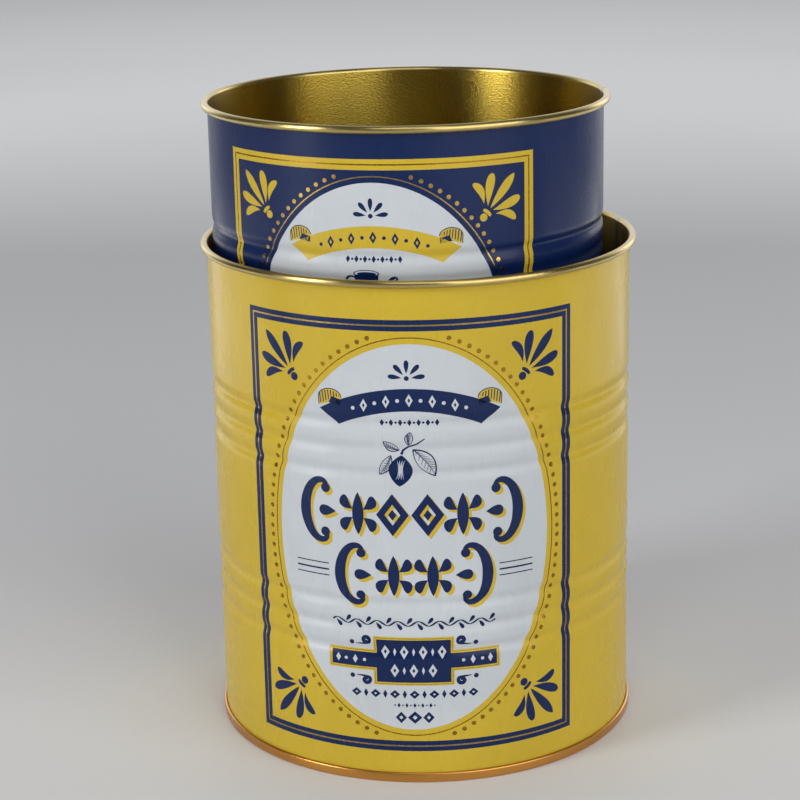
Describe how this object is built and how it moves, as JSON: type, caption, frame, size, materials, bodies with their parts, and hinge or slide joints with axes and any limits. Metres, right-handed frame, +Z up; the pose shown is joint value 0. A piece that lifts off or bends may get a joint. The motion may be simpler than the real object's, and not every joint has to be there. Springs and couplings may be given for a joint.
{
  "type": "nesting lithographed tins",
  "caption": "Nested set of open round lithographed tins with beaded walls, rolled rims and seamed bases; the inner tin stands raised on a card collar and lifts out of the outer one.",
  "frame": {"origin": "centre of the large tin's base, on the plane that its bottom seam stands on", "axes": "+Z up along the large tin's axis, -Y out of the middle of the printed front, +X to the right of it"},
  "size_m": [0.1304, 0.1304, 0.1916],
  "materials": {
    "litho_yellow": "printed tinplate under semi-gloss varnish",
    "litho_navy": "printed tinplate under semi-gloss varnish",
    "litho_white": "printed tinplate under semi-gloss varnish",
    "litho_gold": "gold ink on tinplate under semi-gloss varnish",
    "gold_lacquer": "bright tinplate under clear gold lacquer",
    "bare_tinplate": "unprinted tinplate margin",
    "seam_compound": "cured sealing compound",
    "card": "raw grey-brown card"
  },
  "bodies": {
    "large_tin": {"large_body_sheet": "litho_yellow", "large_bottom_end": "gold_lacquer", "large_seam_compound": "seam_compound"},
    "riser": {"card_riser": "card"},
    "small_tin": {"small_body_sheet": "litho_navy", "small_bottom_end": "gold_lacquer", "small_seam_compound": "seam_compound"}
  },
  "joints": [
    {"name": "riser_lift", "type": "slide", "parent": "large_tin", "child": "riser", "axis": [0, 0, 1], "range_m": [0, 0.148]},
    {"name": "small_tin_lift", "type": "slide", "parent": "riser", "child": "small_tin", "axis": [0, 0, 1], "range_m": [0, 0.1]}
  ]
}
